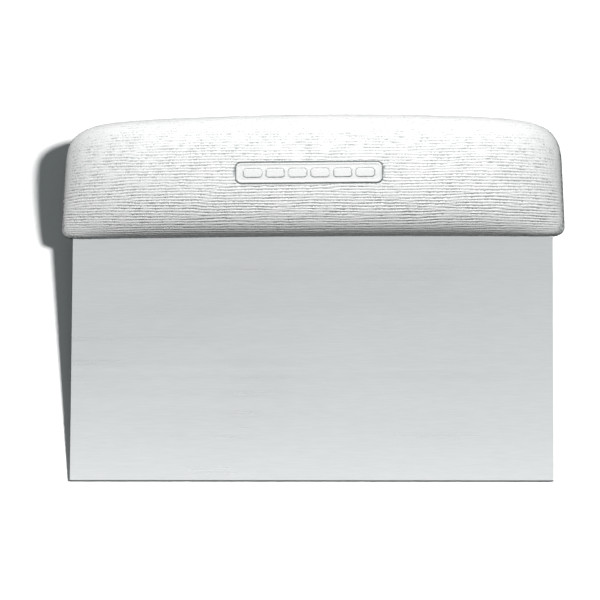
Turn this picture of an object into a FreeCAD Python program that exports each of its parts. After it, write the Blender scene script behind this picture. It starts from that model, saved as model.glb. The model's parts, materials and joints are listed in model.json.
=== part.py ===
import FreeCAD, Part
import math
import os
import Sketcher

# Bench scraper: a flat stainless blade with a moulded plastic handle round its upper edge.
#
# Both pieces are drawn flat first, in the tool frame: X runs along the blade's width, Y from the
# scraping edge to the handle, Z is square to the blade, and the origin is the middle of the edge.
# The rest pose then lays the tool down as it lies on a table, on its edge and the handle's back.

DIMENSIONS = (
    ("blade_width", 152.4, "6 in"),
    ("blade_thickness", 0.9, "rolled stainless sheet"),
    ("blade_exposure", 76.8, "scraping edge to the ends of the handle's lower edge"),
    ("edge_chamfer", 0.35, "eases both corners of the scraping edge"),
    ("tang_depth", 25.0, "how far the sheet runs up inside the handle"),
    ("tang_corner", 6.0, "clipped upper corners of the tang"),
    ("hole_diameter", 8.0, "locking holes that the handle's plastic fills"),
    ("hole_depth", 13.0, "locking holes above the handle's lower edge"),
    ("hole_pitch", 21.0, "spacing of the locking holes"),
    ("hole_count", 7, "locking holes in the row"),
    ("handle_width", 160.2, "widest, at the lower edge"),
    ("handle_height", 39.5, "lower edge at the ends to the crown"),
    ("handle_thickness", 22.0, "thickest, in the middle of the width"),
    ("base_arch", 0.65, "rise of the lower edge at the middle"),
    ("base_corner", 3.5, "height that the lower corners round off"),
    ("base_squareness", 45, "exponent: larger makes tighter lower corners"),
    ("crown_sag", 2.6, "fall of the top edge towards the ends"),
    ("shoulder_drop", 15.0, "height that the upper corners round off"),
    ("shoulder_squareness", 13.3, "exponent along the width"),
    ("shoulder_fullness", 3.1, "exponent down the end"),
    ("side_draft", 0.02, "share of the width lost from bottom to top"),
    ("grip_rise", 6.0, "how far the thickest line sits above mid-height"),
    ("section_sharpness", 0.85, "exponent: 1 makes an oval section, smaller a squarer one"),
    ("end_squareness", 5, "exponent: how late the thickness falls off towards the ends"),
    ("end_sharpness", 0.55, "exponent: smaller makes blunter ends"),
)

STATION_STEPS = 24      # surface stations from the middle to each end
SECTION_STEPS = 24      # surface points from the lower edge to the top
SKIN_TOLERANCE = 0.003  # how closely the skin follows the section formula
POSE_STEPS = 3600       # section points tried when the tool is laid down


def make_sheet(doc):
    """The spreadsheet that drives every size."""
    sheet = doc.addObject("Spreadsheet::Sheet", "dims")
    for row, (alias, value, meaning) in enumerate(DIMENSIONS, start=1):
        sheet.set(f"A{row}", alias)
        sheet.set(f"B{row}", str(value))
        sheet.set(f"C{row}", meaning)
        sheet.setAlias(f"B{row}", alias)
    doc.recompute()
    return sheet


def origin_plane(body, role):
    """One of the body's own base planes, found by its role."""
    for feature in body.Origin.OriginFeatures:
        if feature.Role == role:
            return feature
    raise LookupError(role)


def add_sketch(body, name):
    """A sketch on the body's XY plane, the middle plane of the sheet."""
    sketch = body.newObject("Sketcher::SketchObject", name)
    sketch.AttachmentSupport = [(origin_plane(body, "XY_Plane"), "")]
    sketch.MapMode = "FlatFace"
    return sketch


def bind(sketch, name, constraint, formula):
    """Adds a named constraint and drives it from the spreadsheet."""
    index = sketch.addConstraint(constraint)
    sketch.renameConstraint(index, name)
    sketch.setExpression(f"Constraints.{name}", formula)


# ---------------------------------------------------------------- blade

def draw_blank(sketch, dims):
    """The stamped blank: a rectangle whose two upper corners are clipped."""
    half = dims.blade_width / 2
    top = dims.blade_exposure + dims.tang_depth
    clip = dims.tang_corner
    corners = [
        (-half, 0), (half, 0), (half, top - clip), (half - clip, top),
        (clip - half, top), (-half, top - clip),
    ]
    points = [FreeCAD.Vector(x, y, 0) for x, y in corners]
    for start, end in zip(points, points[1:] + points[:1]):
        sketch.addGeometry(Part.LineSegment(start, end), False)
    count = len(corners)
    for line in range(count):
        sketch.addConstraint(Sketcher.Constraint("Coincident", line, 2, (line + 1) % count, 1))
    edge, right, right_clip, head, left_clip, left = range(count)
    for line in (edge, head):
        sketch.addConstraint(Sketcher.Constraint("Horizontal", line))
    for line in (right, left):
        sketch.addConstraint(Sketcher.Constraint("Vertical", line))
    sketch.addConstraint(Sketcher.Constraint("Symmetric", edge, 1, edge, 2, -1, 1))
    sketch.addConstraint(Sketcher.Constraint("Equal", right_clip, left_clip))
    bind(sketch, "width", Sketcher.Constraint("DistanceX", edge, 1, edge, 2, 2 * half),
         "dims.blade_width")
    bind(sketch, "height", Sketcher.Constraint("DistanceY", edge, 2, head, 1, top),
         "dims.blade_exposure + dims.tang_depth")
    bind(sketch, "clip_across", Sketcher.Constraint("DistanceX", head, 1, right, 2, clip),
         "dims.tang_corner")
    bind(sketch, "clip_down", Sketcher.Constraint("DistanceY", right, 2, head, 1, clip),
         "dims.tang_corner")


def draw_hole(sketch, dims):
    """The first locking hole, at the left end of the row."""
    across = dims.hole_pitch * (dims.hole_count - 1) / 2
    up = dims.blade_exposure + dims.hole_depth
    centre = FreeCAD.Vector(-across, up, 0)
    normal = FreeCAD.Vector(0, 0, 1)
    sketch.addGeometry(Part.Circle(centre, normal, dims.hole_diameter / 2), False)
    bind(sketch, "across", Sketcher.Constraint("DistanceX", 0, 3, -1, 1, across),
         "dims.hole_pitch * (dims.hole_count - 1) / 2")
    bind(sketch, "up", Sketcher.Constraint("DistanceY", -1, 1, 0, 3, up),
         "dims.blade_exposure + dims.hole_depth")
    bind(sketch, "bore", Sketcher.Constraint("Diameter", 0, dims.hole_diameter),
         "dims.hole_diameter")


def edge_names(shape, wanted):
    """Names of the edges whose middle point passes the test."""
    names = []
    for number, edge in enumerate(shape.Edges, start=1):
        if wanted(edge.CenterOfMass):
            names.append(f"Edge{number}")
    return names


def make_blade(doc, dims):
    body = doc.addObject("PartDesign::Body", "blade")
    body.Label = "blade"

    blank = add_sketch(body, "blank_outline")
    draw_blank(blank, dims)
    sheet_metal = body.newObject("PartDesign::Pad", "sheet_metal")
    sheet_metal.Profile = blank
    sheet_metal.SideType = "Symmetric"
    sheet_metal.setExpression("Length", "dims.blade_thickness")
    doc.recompute()

    first_hole = add_sketch(body, "first_hole")
    draw_hole(first_hole, dims)
    punched = body.newObject("PartDesign::Pocket", "punched_hole")
    punched.Profile = first_hole
    punched.SideType = "Symmetric"
    punched.Type = "ThroughAll"
    row = body.newObject("PartDesign::LinearPattern", "hole_row")
    row.Originals = [punched]
    row.Direction = (first_hole, ["H_Axis"])
    row.setExpression("Length", "dims.hole_pitch * (dims.hole_count - 1)")
    row.setExpression("Occurrences", "dims.hole_count")
    body.Tip = row
    doc.recompute()

    broken_edge = body.newObject("PartDesign::Chamfer", "edge_break")
    lower_corners = edge_names(row.Shape, lambda p: abs(p.y) < 1e-6 and abs(p.x) < 1e-6)
    broken_edge.Base = (row, lower_corners)
    broken_edge.setExpression("Size", "dims.edge_chamfer")
    body.Tip = broken_edge
    doc.recompute()

    holes = dims.hole_count * math.pi * dims.hole_diameter ** 2 / 4
    clips = dims.tang_corner ** 2
    blank_area = dims.blade_width * (dims.blade_exposure + dims.tang_depth) - clips
    breaks = dims.edge_chamfer ** 2 * dims.blade_width
    expected = (blank_area - holes) * dims.blade_thickness - breaks
    assert abs(body.Shape.Volume - expected) < 0.01, "a blade feature cut too little or too much"
    return body


# ---------------------------------------------------------------- handle

def top_edge(dims, along):
    """Height of the handle's top edge, along = -1 to 1 over its width."""
    reach = abs(along)
    rounding = (1 - reach ** dims.shoulder_squareness) ** (1 / dims.shoulder_fullness)
    return dims.handle_height - dims.crown_sag * reach ** 2 - dims.shoulder_drop * (1 - rounding)


def lower_edge(dims, along):
    """Height of the handle's lower edge, arched in the middle and rounded at its corners."""
    reach = abs(along)
    rounding = math.sqrt(1 - reach ** dims.base_squareness)
    return dims.base_arch * (1 - reach ** 2) + dims.base_corner * (1 - rounding)


def handle_point(dims, along, turn):
    """A point of the handle's skin, in the tool frame.

    Each section across the handle is an egg with its thick side up: turn runs from -90 degrees on
    the lower edge over 0 on the front face to 90 on the top edge.
    """
    low = lower_edge(dims, along)
    span = top_edge(dims, along) - low
    share = (1 + math.sin(turn)) / 2
    up = low + span * share + dims.grip_rise * span / dims.handle_height * math.cos(turn) ** 2
    thinning = (1 - abs(along) ** dims.end_squareness) ** dims.end_sharpness
    out = dims.handle_thickness / 2 * thinning * math.cos(turn) ** dims.section_sharpness
    across = dims.handle_width / 2 * along * (1 - dims.side_draft * up / dims.handle_height)
    return FreeCAD.Vector(across, dims.blade_exposure + up, out)


def stations():
    """Places along the handle, closer together towards its rounded ends."""
    half = [1 - (1 - step / STATION_STEPS) ** 3 for step in range(1, STATION_STEPS + 1)]
    return [-place for place in reversed(half)] + [0.0] + half


def make_handle_form(doc, dims):
    """The moulding's outer form: a front and a back skin that meet on the parting line."""
    turns = [math.pi * step / SECTION_STEPS - math.pi / 2 for step in range(SECTION_STEPS + 1)]
    grid = [[handle_point(dims, along, turn) for turn in turns] for along in stations()]
    for column in grid:
        column[0].z = 0
        column[-1].z = 0
    surface = Part.BSplineSurface()
    surface.approximate(Points=grid, DegMin=3, DegMax=6, Continuity=2,
                        Tolerance=SKIN_TOLERANCE, ParamType="ChordLength")
    front = surface.toShape()
    back = front.mirror(FreeCAD.Vector(0, 0, 0), FreeCAD.Vector(0, 0, 1))
    skin = Part.makeShell([front, back])
    skin.sewShape()
    solid = Part.makeSolid(skin)
    if solid.Volume < 0:
        solid.reverse()
    form = doc.addObject("Part::Feature", "handle_form")
    form.Label = "handle_form"
    form.Shape = solid
    return form


def make_handle(doc, form, blade):
    """The moulding itself: the outer form less the tang, with plugs left in the locking holes."""
    handle = doc.addObject("Part::Cut", "handle")
    handle.Label = "handle"
    handle.Base = form
    handle.Tool = blade
    return handle


# ---------------------------------------------------------------- rest pose

def resting_placement(dims):
    """Lays the tool on its scraping edge and the back of its handle.

    The tilt is the steepest line from the lower corner of the edge to the handle's back. The
    origin then comes to the middle of the footprint, on the table.
    """
    half_sheet = dims.blade_thickness / 2
    corner_y = dims.edge_chamfer
    turns = [math.pi * step / POSE_STEPS - math.pi / 2 for step in range(POSE_STEPS + 1)]
    section = [handle_point(dims, 0.0, turn) for turn in turns]
    tilt = max(math.atan2(p.z - half_sheet, p.y - corner_y) for p in section)

    rotation = FreeCAD.Rotation(FreeCAD.Vector(1, 0, 0), math.degrees(tilt))
    back = [FreeCAD.Vector(p.x, p.y, -p.z) for p in section]
    edge = [
        FreeCAD.Vector(0, y, side * z)
        for side in (-1, 1)
        for y, z in ((0, half_sheet - corner_y), (corner_y, half_sheet))
    ]
    laid = [rotation.multVec(p) for p in section + back + edge]
    nearest = min(p.y for p in laid)
    furthest = max(p.y for p in laid)
    lowest = min(p.z for p in laid)
    shift = FreeCAD.Vector(0, -(nearest + furthest) / 2, -lowest)
    return FreeCAD.Placement(shift, rotation)


# ---------------------------------------------------------------- checks and files

def check(doc, subparts):
    """Stops if any object failed to build or any sub-part is not one sound solid."""
    for item in doc.Objects:
        bad = {"Invalid", "Error"} & set(item.State)
        assert not bad, f"{item.Name}: {bad}"
    for item in subparts:
        shape = item.Shape
        assert not shape.isNull(), f"{item.Label} is empty"
        assert shape.isValid(), f"{item.Label} is not valid"
        assert len(shape.Solids) == 1, f"{item.Label} is not one solid"


def export(subparts):
    os.makedirs("parts", exist_ok=True)
    for item in subparts:
        item.Shape.exportStep(os.path.join("parts", f"{item.Label}.step"))


def main():
    doc = FreeCAD.newDocument("bench_scraper")
    dims = make_sheet(doc)
    blade = make_blade(doc, dims)
    form = make_handle_form(doc, dims)
    pose = resting_placement(dims)
    blade.Placement = pose
    form.Placement = pose
    handle = make_handle(doc, form, blade)
    doc.recompute()
    subparts = [blade, handle]
    check(doc, subparts)
    export(subparts)
    for item in subparts:
        box = item.Shape.BoundBox
        print(f"{item.Label}: volume {item.Shape.Volume:.1f} mm3, "
              f"X {box.XMin:.2f}..{box.XMax:.2f}, "
              f"Y {box.YMin:.2f}..{box.YMax:.2f}, Z {box.ZMin:.2f}..{box.ZMax:.2f}")
    print(f"rest tilt {math.degrees(pose.Rotation.Angle):.3f} deg, shift {pose.Base}")


main()
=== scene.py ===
import json
import math

import bmesh
import bpy
import numpy as np
from mathutils import Matrix, Vector


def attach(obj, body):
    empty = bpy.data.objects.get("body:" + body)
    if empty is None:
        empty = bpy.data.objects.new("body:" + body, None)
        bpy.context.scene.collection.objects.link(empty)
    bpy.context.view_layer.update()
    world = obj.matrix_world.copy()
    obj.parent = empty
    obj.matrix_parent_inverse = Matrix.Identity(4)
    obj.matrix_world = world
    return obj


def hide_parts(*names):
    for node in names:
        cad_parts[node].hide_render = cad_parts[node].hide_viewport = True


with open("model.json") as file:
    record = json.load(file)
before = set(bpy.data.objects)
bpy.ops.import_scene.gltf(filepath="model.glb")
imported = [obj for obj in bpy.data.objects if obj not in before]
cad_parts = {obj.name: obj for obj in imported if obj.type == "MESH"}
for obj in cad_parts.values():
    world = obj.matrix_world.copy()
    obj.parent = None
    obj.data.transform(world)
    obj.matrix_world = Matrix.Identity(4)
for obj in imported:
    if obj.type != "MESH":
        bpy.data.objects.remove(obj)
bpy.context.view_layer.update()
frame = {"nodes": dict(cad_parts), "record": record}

# Lengths are in metres. Shapes are worked out in the tool frame, where X runs along the blade's
# width, Y from the scraping edge to the handle and Z is square to the blade.

# The handle's outer form, as the moulding is designed.
BLADE_EXPOSURE = 0.0768         # scraping edge to the ends of the handle's lower edge
HANDLE_WIDTH = 0.1602
HANDLE_HEIGHT = 0.0395
HANDLE_THICKNESS = 0.022
BASE_ARCH = 0.00065
BASE_CORNER = 0.0035
BASE_SQUARENESS = 45
CROWN_SAG = 0.0026
SHOULDER_DROP = 0.015
SHOULDER_SQUARENESS = 13.3
SHOULDER_FULLNESS = 3.1
SIDE_DRAFT = 0.02
GRIP_RISE = 0.006
SECTION_SHARPNESS = 0.85
END_SQUARENESS = 5
END_SHARPNESS = 0.55

# The moulded surface: all of it is cut down from the outer form.
RIDGE_PITCH = 0.00093
RIDGE_DEPTH = 0.00030
RIDGE_RUN = 0.013               # how far a ridge keeps its course along the handle
RIDGE_JITTER = 0.00006          # how far it wanders from side to side
JITTER_RUN = 0.0011             # how soon it wanders back
SWELL_RUN = 0.0012              # how soon its depth changes
PEBBLE_RUN = 0.0011             # towards the top edge the ridges break up into pebbles this long
PEBBLES_START = 0.015           # the first of them lie this far from the top edge
PEBBLES_FULL = 0.008            # and closer than this there is nothing else
PEBBLE_CALM = 0.5               # how much shallower the pebbles are than the ridges
BASE_CALM = 0.35                # depth of the ridges along the lower edge, as a share
BASE_CALM_ENDS = (0.003, 0.012)     # over these distances from that edge they reach their depth
LAND_DEPTH = 0.00003            # the tops of the ridges lie this far below the outer form
SEAM_WIDTH = 0.0004             # plain land along the mould's parting line
SEAM_PAINTED_SHADE = 0.95                # share of the grooves' painted shade laid along the parting line
SEAM_PAINTED_SHADE_ENDS = (0.0008, 0.0024)   # over these distances from it the painted shade gives out
END_FADE = 0.0035               # ridges grow shallower this close to each end
END_LAND = 0.0004               # and are shallowest from here on
END_SHARE = 0.15                # with this share of their depth left
FIELD_SHAPE = (960, 1440)       # cells of a random field, along and round the handle
FIELD_CELL = (0.0002, 0.00008)

# The plain panel on the front of the grip, with its row of blocks.
PANEL_LENGTH = 0.0460
PANEL_HEIGHT = 0.0063
PANEL_CORNER = 0.0016
PANEL_UP = 0.0196               # its middle above the handle's lower edge
PANEL_RIM = 0.0006
PANEL_DEPTH = 0.00020
PANEL_GROOVE = 0.00050
PANEL_GROOVE_DEPTH = 0.00036
PANEL_SOFTNESS = 0.00012        # half the width over which its edges slope
LINE_PAINTED_SHADE = 2.4                 # how much darker the panel's lines are painted than the grooves' painted shade
DASH_COUNT = 6
DASH_LENGTH = 0.0056
DASH_HEIGHT = 0.0026
DASH_CORNER = 0.0008
DASH_PITCH = 0.0071
DASH_RISE = 0.9                 # height of the blocks, as a share of the panel's depth
DASH_LINE = 0.8                 # painted shade along the blocks' edges, as a share of the panel's own

# Mesh density over the handle.
HALF_COLUMNS = 88
HALF_ROWS = 240
PANEL_CUTS = (2, 1)             # extra columns and rows between the others over the panel
PANEL_MARGIN = 0.0012

# Camera, placed in the tool frame.
CAMERA_DISTANCE = 1.0
CAMERA_ACROSS = 5.07            # degrees towards +X from square to the blade
CAMERA_DOWN = 6.13              # degrees towards the scraping edge
CAMERA_ROLL = 0.30
CAMERA_LENS = 189.8             # millimetres
CAMERA_AIM = (-0.0035, 0.0573, 0.0)

# Studio.
FLOOR_HALF_SIDE = 9.0
BACKDROP_RADIUS = 8.0
HAZE = 0.03                     # strength of the even light from all round
LAMP_AIM = (0, 0.03, 0)         # point on the table that the soft boxes face

# The light tent that shows in the blade: share of its height, and brightness there.
TENT_RADIUS = 10.0
TENT_LEVELS = ((0.0, 0.05), (0.06, 0.35), (0.30, 0.58), (0.75, 0.58), (0.92, 0.50))


# ---------------------------------------------------------------- frame

def tool_matrix():
    """The tool frame's place on the table, read from the mount at the middle of the edge."""
    mounts = {mount["name"]: mount for mount in frame["record"]["mounts"]}
    edge = mounts["scraping_edge"]
    x_axis = Vector((1, 0, 0))
    y_axis = -Vector(edge["axis"]).normalized()
    z_axis = x_axis.cross(y_axis)
    turn = Matrix((x_axis, y_axis, z_axis)).transposed()
    return Matrix.Translation(Vector(edge["pos_m"])) @ turn.to_4x4()


TOOL = tool_matrix()


# ---------------------------------------------------------------- node helpers

class Shader:
    """A short way to lay out a material's nodes."""

    def __init__(self, name):
        self.material = bpy.data.materials.new(name)
        self.material.use_nodes = True
        self.tree = self.material.node_tree
        self.tree.nodes.clear()
        self.output = self.add("ShaderNodeOutputMaterial")

    def add(self, kind, inputs=None, **settings):
        node = self.tree.nodes.new(kind)
        for name, value in settings.items():
            setattr(node, name, value)
        for name, value in (inputs or {}).items():
            self.put(node.inputs[name], value)
        return node

    def put(self, socket, value):
        if isinstance(value, bpy.types.NodeSocket):
            self.tree.links.new(value, socket)
        else:
            socket.default_value = value

    def coordinates(self, scale):
        """The object's own coordinates in metres, scaled along each axis."""
        place = self.add("ShaderNodeTexCoord").outputs["Object"]
        mapping = self.add("ShaderNodeMapping", {"Vector": place, "Scale": scale})
        return mapping.outputs["Vector"]

    def noise(self, scale, detail, roughness=0.5):
        node = self.add("ShaderNodeTexNoise", {
            "Vector": self.coordinates(scale), "Scale": 1.0, "Detail": detail,
            "Roughness": roughness,
        })
        return node.outputs["Fac"]

    def spread(self, value, low, high, start=0.3, end=0.7):
        """Maps start to end, a texture's useful range, onto low to high."""
        node = self.add("ShaderNodeMapRange", {
            "Value": value, "From Min": start, "From Max": end, "To Min": low, "To Max": high,
        })
        return node.outputs["Result"]

    def blend(self, factor, first, second):
        """A colour between two, through the Mix node's colour sockets."""
        node = self.add("ShaderNodeMix", data_type="RGBA")
        self.put(node.inputs[0], factor)
        self.put(node.inputs[6], first)
        self.put(node.inputs[7], second)
        return node.outputs[2]

    def bump(self, height, distance, strength, normal=None):
        inputs = {"Height": height, "Distance": distance, "Strength": strength}
        if normal is not None:
            inputs["Normal"] = normal
        return self.add("ShaderNodeBump", inputs).outputs["Normal"]

    def finish(self, shader):
        self.put(self.output.inputs["Surface"], shader)
        return self.material


# ---------------------------------------------------------------- materials

def white_plastic():
    """White polypropylene with the matt grain of a spark-eroded mould."""
    s = Shader("white_polypropylene")
    cloud = s.noise((60, 60, 60), detail=2.0)
    pebble = s.noise((1700, 1900, 1900), detail=2.0, roughness=0.6)
    grain = s.noise((2600, 3800, 3800), detail=2.0, roughness=0.6)
    plain = s.blend(s.spread(cloud, 0.0, 1.0), (0.865, 0.88, 0.875, 1), (0.90, 0.905, 0.90, 1))

    # Painted shade sits in the grooves in short stretches. Above 1 the attribute marks the panel's
    # lines.
    groove = s.add("ShaderNodeAttribute", attribute_name="groove").outputs["Fac"]
    breaks = s.noise((2300, 1300, 1300), detail=1.0)
    painted_groove_shade = s.add("ShaderNodeMath", {0: groove, 1: s.spread(breaks, 0.0, 1.45)},
                 operation="MULTIPLY").outputs[0]
    tone = s.blend(s.spread(painted_groove_shade, 0.0, 1.0, 0.15, 1.0), plain, (0.42, 0.45, 0.45, 1))
    # The panel's lines get a darker painted shade still.
    tone = s.blend(s.spread(groove, 0.0, 1.0, 1.0, 2.0), tone, (0.17, 0.19, 0.19, 1))

    rough = s.spread(grain, 0.38, 0.52)
    fine = s.bump(grain, 0.00002, 0.5)
    surface = s.add("ShaderNodeBsdfPrincipled", {
        "Base Color": tone,
        "Roughness": rough,
        "IOR": 1.49,
        "Subsurface Weight": 0.08,
        "Subsurface Radius": (1.0, 0.95, 0.9),
        "Subsurface Scale": 0.0003,
        "Normal": s.bump(pebble, 0.00012, 0.8, fine),
    })
    return s.finish(surface.outputs["BSDF"])


def brushed_steel():
    """Satin stainless sheet, brushed along the blade's width."""
    s = Shader("satin_stainless")
    brushing = s.noise((60, 1500, 1500), detail=1.0)
    scratches = s.noise((160, 2300, 2300), detail=2.0)
    streaks = s.noise((3, 420, 420), detail=2.0)
    cloud = s.noise((18, 40, 40), detail=2.0)
    tone = s.blend(s.spread(scratches, 0.0, 1.0), (0.605, 0.62, 0.625, 1), (0.640, 0.650, 0.655, 1))
    rough = s.add("ShaderNodeMath", {0: s.spread(streaks, 0.28, 0.32), 1: s.spread(cloud, -0.02, 0.02)},
                  operation="ADD").outputs[0]
    surface = s.add("ShaderNodeBsdfPrincipled", {
        "Base Color": tone,
        "Metallic": 1.0,
        "Roughness": rough,
        "Normal": s.bump(brushing, 0.000003, 0.15),
    })
    return s.finish(surface.outputs["BSDF"])


def pale_floor():
    s = Shader("studio_floor")
    grain = s.noise((900, 900, 900), detail=2.0)
    tone = s.blend(s.spread(grain, 0.0, 1.0), (0.90, 0.90, 0.90, 1), (0.92, 0.92, 0.92, 1))
    surface = s.add("ShaderNodeBsdfPrincipled", {
        "Base Color": tone, "Roughness": 0.9, "Specular IOR Level": 0.1,
    })
    return s.finish(surface.outputs["BSDF"])


def backdrop_glow():
    s = Shader("studio_backdrop")
    glow = s.add("ShaderNodeEmission", {"Color": (1, 1, 1, 1), "Strength": 1.0})
    return s.finish(glow.outputs["Emission"])


def tent_glow():
    """The tent that the objects reflect: dark at the floor, bright at the sides and overhead."""
    s = Shader("light_tent")
    place = s.add("ShaderNodeTexCoord").outputs["Object"]
    height = s.add("ShaderNodeSeparateXYZ", {"Vector": place}).outputs["Z"]
    share = s.add("ShaderNodeMath", {0: height, 1: TENT_RADIUS}, operation="DIVIDE").outputs[0]
    ramp = s.add("ShaderNodeValToRGB", {"Fac": share})
    stops = ramp.color_ramp.elements
    stops.remove(stops[1])
    for number, (share_up, level) in enumerate(TENT_LEVELS):
        stop = stops.new(share_up) if number else stops[0]
        stop.color = (level * 0.98, level, level, 1)
    glow = s.add("ShaderNodeEmission", {"Color": ramp.outputs["Color"], "Strength": 1.0})
    return s.finish(glow.outputs["Emission"])


# ---------------------------------------------------------------- handle form

def top_edge(reach):
    """Height of the handle's top edge at a share of the half width, 0 to 1."""
    rounding = (1 - reach ** SHOULDER_SQUARENESS) ** (1 / SHOULDER_FULLNESS)
    return HANDLE_HEIGHT - CROWN_SAG * reach ** 2 - SHOULDER_DROP * (1 - rounding)


def lower_edge(reach):
    rounding = np.sqrt(1 - reach ** BASE_SQUARENESS)
    return BASE_ARCH * (1 - reach ** 2) + BASE_CORNER * (1 - rounding)


def form(along, turn):
    """Points of the outer form in the tool frame, above the handle's lower edge.

    along is -1 to 1 over the width. turn is -90 degrees on the lower edge, 0 on the front face,
    90 on the top edge and 180 on the back.
    """
    reach = np.clip(np.abs(along), 0, 1)
    low = lower_edge(reach)
    span = top_edge(reach) - low
    rise = GRIP_RISE * span / HANDLE_HEIGHT * np.cos(turn) ** 2
    up = low + span * (1 + np.sin(turn)) / 2 + rise
    facing = np.cos(turn)
    bulge = np.sign(facing) * np.abs(facing) ** SECTION_SHARPNESS
    out = HANDLE_THICKNESS / 2 * (1 - reach ** END_SQUARENESS) ** END_SHARPNESS * bulge
    across = HANDLE_WIDTH / 2 * along * (1 - SIDE_DRAFT * up / HANDLE_HEIGHT)
    return np.stack([across, up, out], axis=-1)


def form_normals(along, turn):
    """Outward normals of the outer form, from small steps to either side."""
    step = 1e-4
    left = form(np.clip(along - step, -1, 1), turn)
    right = form(np.clip(along + step, -1, 1), turn)
    before = form(along, turn - step)
    after = form(along, turn + step)
    normals = np.cross(right - left, after - before)
    length = np.linalg.norm(normals, axis=-1, keepdims=True)
    return normals / np.maximum(length, 1e-15)


def girth_table(samples=4000):
    """Turns, distances and heights round the middle section, from the lower edge up the front."""
    turns = np.linspace(-math.pi / 2, math.pi / 2, samples)
    section = form(np.zeros(samples), turns)
    steps = np.linalg.norm(np.diff(section, axis=0), axis=1)
    return turns, np.concatenate([[0.0], np.cumsum(steps)]), section[:, 1]


TURNS, GIRTH, HEIGHTS = girth_table()
HALF_GIRTH = GIRTH[-1]


# ---------------------------------------------------------------- surface relief

class Field:
    """A random wave over the skin, in metres along and round the handle."""

    def __init__(self, seed, run, pitch, spread):
        """Waves of one pitch that keep their course over about run; pitch 0 gives soft cloud.

        spread is how far their frequency strays from 1 / pitch, in waves per metre.
        """
        noise = np.random.default_rng(seed).standard_normal(FIELD_SHAPE)
        along = np.fft.fftfreq(FIELD_SHAPE[0], FIELD_CELL[0])[:, None]
        around = np.fft.fftfreq(FIELD_SHAPE[1], FIELD_CELL[1])[None, :]
        centre = 1 / pitch if pitch else 0.0
        weight = np.exp(-(along * run * 2) ** 2) * np.exp(-((around - centre) / spread) ** 2)
        values = np.fft.ifft2(np.fft.fft2(noise) * weight)
        self.values = values / np.sqrt(np.mean(np.abs(values) ** 2))

    def at(self, x, v):
        """Values at points, between the four nearest cells."""
        columns, rows = FIELD_SHAPE
        i = (x / FIELD_CELL[0]) % columns
        j = (v / FIELD_CELL[1]) % rows
        i0 = np.floor(i).astype(int)
        j0 = np.floor(j).astype(int)
        fi = i - i0
        fj = j - j0
        i0 %= columns
        j0 %= rows
        i1 = (i0 + 1) % columns
        j1 = (j0 + 1) % rows
        f = self.values
        low = f[i0, j0] * (1 - fi) + f[i1, j0] * fi
        high = f[i0, j1] * (1 - fi) + f[i1, j1] * fi
        return low * (1 - fj) + high * fj

    def cloud(self, x, v):
        return self.at(x, v).real

    def waves(self, x, v):
        """Waves of an even height, -1 to 1, that die out only where two of them meet."""
        value = self.at(x, v)
        return value.real / np.sqrt(np.abs(value) ** 2 + 0.04)


def smooth(value, low, high):
    """0 below low, 1 above high and an even curve between them."""
    t = np.clip((value - low) / (high - low), 0, 1)
    return t * t * (3 - 2 * t)


def plate_distance(x, y, length, height, corner):
    """Distance outside a rounded rectangle that is centred on the origin, negative inside it."""
    across = np.abs(x) - length / 2 + corner
    up = np.abs(y) - height / 2 + corner
    outside = np.hypot(np.maximum(across, 0), np.maximum(up, 0))
    return outside + np.minimum(np.maximum(across, up), 0) - corner


def ridge_relief(x, v, top_share):
    """Depth of the moulded ridges, 0 on the lands and about 1 in the grooves."""
    jitter = Field(14, JITTER_RUN, 0.0, 500).cloud(x, v)
    ridges = Field(11, RIDGE_RUN, RIDGE_PITCH, 85).waves(x, v + RIDGE_JITTER * jitter)
    pebbles = Field(12, PEBBLE_RUN, RIDGE_PITCH, 300).waves(x, v)
    swell = Field(13, SWELL_RUN, 0.0, 450).cloud(x, v)
    groove = smooth(ridges, -0.10, 0.95)
    pit = smooth(pebbles, 0.1, 1.0)
    mixed = groove * (1 - top_share) + pit * top_share
    return mixed * np.clip(0.80 + 0.30 * swell, 0.1, 1.2)


def panel_relief(x, v):
    """Depth of the panel below the outer form, how much of a point belongs to it, and its lines of
    painted shade.
    """
    outside = plate_distance(x, v, PANEL_LENGTH, PANEL_HEIGHT, PANEL_CORNER)
    soft = PANEL_SOFTNESS
    inside = smooth(-outside, PANEL_RIM - soft, PANEL_RIM + soft)
    depth = PANEL_DEPTH * inside
    groove = smooth(outside, -soft, soft) * (1 - smooth(outside, PANEL_GROOVE - soft, PANEL_GROOVE))
    lines = groove
    first = -DASH_PITCH * (DASH_COUNT - 1) / 2
    for number in range(DASH_COUNT):
        middle = first + DASH_PITCH * number
        bar = plate_distance(x - middle, v, DASH_LENGTH, DASH_HEIGHT, DASH_CORNER)
        depth = depth * (1 - DASH_RISE * smooth(-bar, -soft, soft))
        rim = 1 - smooth(np.abs(bar - soft), 0.3 * soft, 1.8 * soft)
        lines = np.maximum(lines, DASH_LINE * rim)
    depth = depth + PANEL_GROOVE_DEPTH * groove
    share = 1 - smooth(outside, PANEL_GROOVE - soft, PANEL_GROOVE + 2 * soft)
    return depth, share, lines


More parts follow.
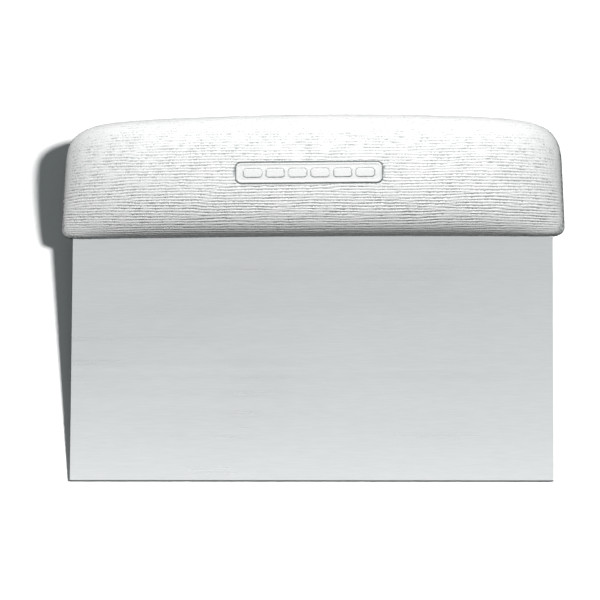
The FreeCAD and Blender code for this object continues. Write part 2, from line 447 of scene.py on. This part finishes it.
def relief(along, turn):
    """How far the finished surface lies below the outer form, and how much painted shade it holds."""
    skin = form(along, turn)
    x = skin[:, 0]
    up = skin[:, 1]
    front = np.cos(turn) >= 0
    girth = np.interp(up, HEIGHTS, GIRTH)
    v = np.where(front, girth, 2 * HALF_GIRTH - girth)

    climb = np.interp(np.minimum(turn, math.pi - turn), TURNS, GIRTH)
    top_share = smooth(climb, HALF_GIRTH - PEBBLES_START, HALF_GIRTH - PEBBLES_FULL)
    base_calm = BASE_CALM + (1 - BASE_CALM) * smooth(climb, *BASE_CALM_ENDS)
    calm = (1 - PEBBLE_CALM * top_share) * base_calm
    ridges = LAND_DEPTH + RIDGE_DEPTH * calm * ridge_relief(x, v, top_share)

    from_end = HANDLE_WIDTH / 2 * (1 - np.abs(along))
    fade = END_SHARE + (1 - END_SHARE) * smooth(from_end, END_LAND, END_FADE)
    from_seam = np.abs(skin[:, 2])
    seam = smooth(from_seam, SEAM_WIDTH * 0.5, SEAM_WIDTH * 1.5)
    depth = ridges * fade * seam

    panel_girth = np.interp(PANEL_UP, HEIGHTS, GIRTH)
    panel_depth, share, lines = panel_relief(x, girth - panel_girth)
    share = np.where(front, share, 0)
    # The grooves' depth is also laid down as painted shade in them.
    groove = np.clip(depth / RIDGE_DEPTH, 0, 1)
    # Painted shade along the parting line round the handle's edges, darkening the rim as shade would.
    groove = np.maximum(groove, SEAM_PAINTED_SHADE * (1 - smooth(from_seam, *SEAM_PAINTED_SHADE_ENDS)))
    # The panel's groove and the blocks' edges are painted as shade.
    groove = groove * (1 - share) + LINE_PAINTED_SHADE * lines * share
    return depth * (1 - share) + panel_depth * share, groove


# ---------------------------------------------------------------- handle mesh

def column_places():
    """Places along the handle, even in the middle and closer towards the rounded ends."""
    step = np.linspace(0, 1, HALF_COLUMNS + 1)
    half = step + (1 - step) * step ** 8
    return np.concatenate([-half[:0:-1], half])


def row_turns():
    """Turns round the section, evenly spaced over the middle section's skin."""
    half = np.interp(np.linspace(0, HALF_GIRTH, HALF_ROWS + 1), GIRTH, TURNS)
    back = math.pi - half[::-1]
    return np.concatenate([half, back[1:]])


def unrolled_grid():
    """The skin laid flat as a grid of along and turn, finer over the panel."""
    columns = column_places()
    turns = row_turns()
    bm = bmesh.new()
    verts = [[bm.verts.new((a, t, 0)) for t in turns] for a in columns]
    for left, right in zip(verts, verts[1:]):
        for k in range(len(turns) - 1):
            bm.faces.new((left[k], right[k], right[k + 1], left[k + 1]))
    reach = (PANEL_LENGTH / 2 + PANEL_MARGIN) / (HANDLE_WIDTH / 2)
    middle = np.interp(PANEL_UP, HEIGHTS, TURNS)
    half_turn = np.interp(PANEL_UP + PANEL_HEIGHT / 2 + PANEL_MARGIN, HEIGHTS, TURNS) - middle
    for axis, cuts in enumerate(PANEL_CUTS):
        chosen = []
        for edge in bm.edges:
            a, b = edge.verts
            level = abs(a.co[1 - axis] - b.co[1 - axis]) < 1e-9
            near = all(abs(v.co.x) < reach and abs(v.co.y - middle) < half_turn for v in (a, b))
            if level and near:
                chosen.append(edge)
        bmesh.ops.subdivide_edges(bm, edges=chosen, cuts=cuts, use_grid_fill=True)
    return bm


def make_handle(material):
    """The handle's skin with its relief, in place of the smooth CAD handle."""
    bm = unrolled_grid()
    flat = np.array([v.co[:2] for v in bm.verts])
    along, turn = flat[:, 0], flat[:, 1]
    depth, groove = relief(along, turn)
    points = form(along, turn) - form_normals(along, turn) * depth[:, None]
    points[:, 1] += BLADE_EXPOSURE
    grooves = bm.verts.layers.float.new("groove")
    for vert, point, share in zip(bm.verts, points, groove):
        vert.co = TOOL @ Vector(point)
        vert[grooves] = share
    bmesh.ops.remove_doubles(bm, verts=bm.verts, dist=2e-6)
    bmesh.ops.recalc_face_normals(bm, faces=bm.faces)
    for face in bm.faces:
        face.smooth = True
    mesh = bpy.data.meshes.new("handle_skin")
    bm.to_mesh(mesh)
    bm.free()
    mesh.materials.append(material)
    handle = bpy.data.objects.new("handle_skin", mesh)
    bpy.context.scene.collection.objects.link(handle)
    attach(handle, "root")
    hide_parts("handle")
    return handle


def dress_blade(material):
    """The blade keeps its CAD mesh and gets the visual material."""
    blade = frame["nodes"]["blade"]
    blade.data.materials.clear()
    blade.data.materials.append(material)
    return blade


# ---------------------------------------------------------------- studio

def make_floor():
    mesh = bpy.data.meshes.new("floor")
    side = FLOOR_HALF_SIDE
    corners = [(-side, -side, 0), (side, -side, 0), (side, side, 0), (-side, side, 0)]
    mesh.from_pydata(corners, [], [(0, 1, 2, 3)])
    mesh.materials.append(pale_floor())
    floor = bpy.data.objects.new("floor", mesh)
    bpy.context.scene.collection.objects.link(floor)
    floor.visible_diffuse = False
    floor.visible_glossy = False
    floor.visible_shadow = False
    return floor


def make_shell(name, radius, material):
    """A sphere round the set that shows or is reflected, but lights no matt surface."""
    bm = bmesh.new()
    bmesh.ops.create_uvsphere(bm, u_segments=64, v_segments=32, radius=radius)
    mesh = bpy.data.meshes.new(name)
    bm.to_mesh(mesh)
    bm.free()
    mesh.materials.append(material)
    shell = bpy.data.objects.new(name, mesh)
    bpy.context.scene.collection.objects.link(shell)
    shell.visible_diffuse = False
    shell.visible_transmission = False
    shell.visible_shadow = False
    return shell


def make_backdrop():
    """White beyond the floor for the camera, and a light tent that only reflections show."""
    backdrop = make_shell("backdrop", BACKDROP_RADIUS, backdrop_glow())
    backdrop.visible_glossy = False
    tent = make_shell("light_tent", TENT_RADIUS, tent_glow())
    tent.visible_camera = False


def light_only(lamp, name, objects):
    """Lets a lamp light only these objects."""
    group = bpy.data.collections.new(name)
    for item in objects:
        group.objects.link(item)
    lamp.light_linking.receiver_collection = group


def point_lamp(lamp, place, target):
    """Faces a lamp at the target, with its width level and as near along X as it can be."""
    behind = (Vector(place) - Vector(target)).normalized()
    wide = Vector((0, 1, 0)).cross(behind).normalized()
    turn = Matrix((wide, behind.cross(wide), behind)).transposed()
    lamp.matrix_world = Matrix.Translation(Vector(place)) @ turn.to_4x4()


def add_lamp(name, kind, energy, place, target=(0, 0, 0), **settings):
    data = bpy.data.lights.new(name, kind)
    data.energy = energy
    for key, value in settings.items():
        setattr(data, key, value)
    lamp = bpy.data.objects.new(name, data)
    bpy.context.scene.collection.objects.link(lamp)
    point_lamp(lamp, place, target)
    return lamp


def soft_box(name, energy, off, across, back, wide, deep, objects):
    """A soft box so many metres off, tilted from overhead by degrees towards +X and +Y."""
    away = Vector((math.tan(math.radians(across)), math.tan(math.radians(back)), 1.0)).normalized()
    middle = Vector(LAMP_AIM)
    lamp = add_lamp(name, "AREA", energy, middle + away * off, middle,
                    shape="RECTANGLE", size=wide, size_y=deep)
    lamp.visible_camera = False
    light_only(lamp, name + "_lights", objects)


def soft_sun(name, energy, direction, degrees, colour, target):
    """Parallel light from one direction, spread over so many degrees, on one object only."""
    lamp = add_lamp(name, "SUN", energy, direction, angle=math.radians(degrees), color=colour)
    light_only(lamp, name + "_lights", [target])


def light_studio(handle, blade, floor):
    """Each lamp lights one object, so that the handle, blade and floor are each lit to suit."""
    world = bpy.data.worlds.new("studio")
    bpy.context.scene.world = world
    world.use_nodes = True
    background = world.node_tree.nodes["Background"]
    background.inputs["Color"].default_value = (1, 1, 1, 1)
    background.inputs["Strength"].default_value = HAZE

    # The handle's bounce comes from below, as if off the pale table.
    soft_box("handle_key", 1.80, 0.40, 4, 22, 0.16, 0.16, [handle])
    soft_box("blade_front", 1.94, 1.0, -9, -15, 1.6, 0.12, [blade])
    soft_box("blade_rear", 0.46, 1.0, -9, 5, 1.6, 0.12, [blade])
    soft_sun("handle_bounce", 0.35, Vector((0.0, 0.0, -1.0)), 60, (0.95, 1, 1), handle)
    soft_sun("floor_key", 5.2, Vector((0.96, 0.13, 1.0)), 9, (1, 1, 1), floor)
    soft_sun("floor_fill", 0.35, Vector((0.0, 0.1, 1.0)), 110, (0.88, 1.0, 1.0), floor)


def make_camera():
    """The camera, upright in the tool frame but for a slight roll."""
    across = math.radians(CAMERA_ACROSS)
    down = math.radians(CAMERA_DOWN)
    toward = Vector((math.sin(across) * math.cos(down), -math.sin(down),
                     math.cos(across) * math.cos(down)))
    right = Vector((0, 1, 0)).cross(toward).normalized()
    above = toward.cross(right)
    turn = Matrix((right, above, toward)).transposed().to_4x4()
    roll = Matrix.Rotation(math.radians(CAMERA_ROLL), 4, "Z")
    place = Matrix.Translation(Vector(CAMERA_AIM) + toward * CAMERA_DISTANCE)
    data = bpy.data.cameras.new("camera")
    data.lens = CAMERA_LENS
    data.clip_start = 0.01
    data.clip_end = 100.0
    camera = bpy.data.objects.new("camera", data)
    bpy.context.scene.collection.objects.link(camera)
    camera.matrix_world = TOOL @ place @ turn @ roll
    bpy.context.scene.camera = camera


bpy.context.scene.view_settings.view_transform = "Standard"
handle = make_handle(white_plastic())
blade = dress_blade(brushed_steel())
floor = make_floor()
make_backdrop()
make_camera()
light_studio(handle, blade, floor)
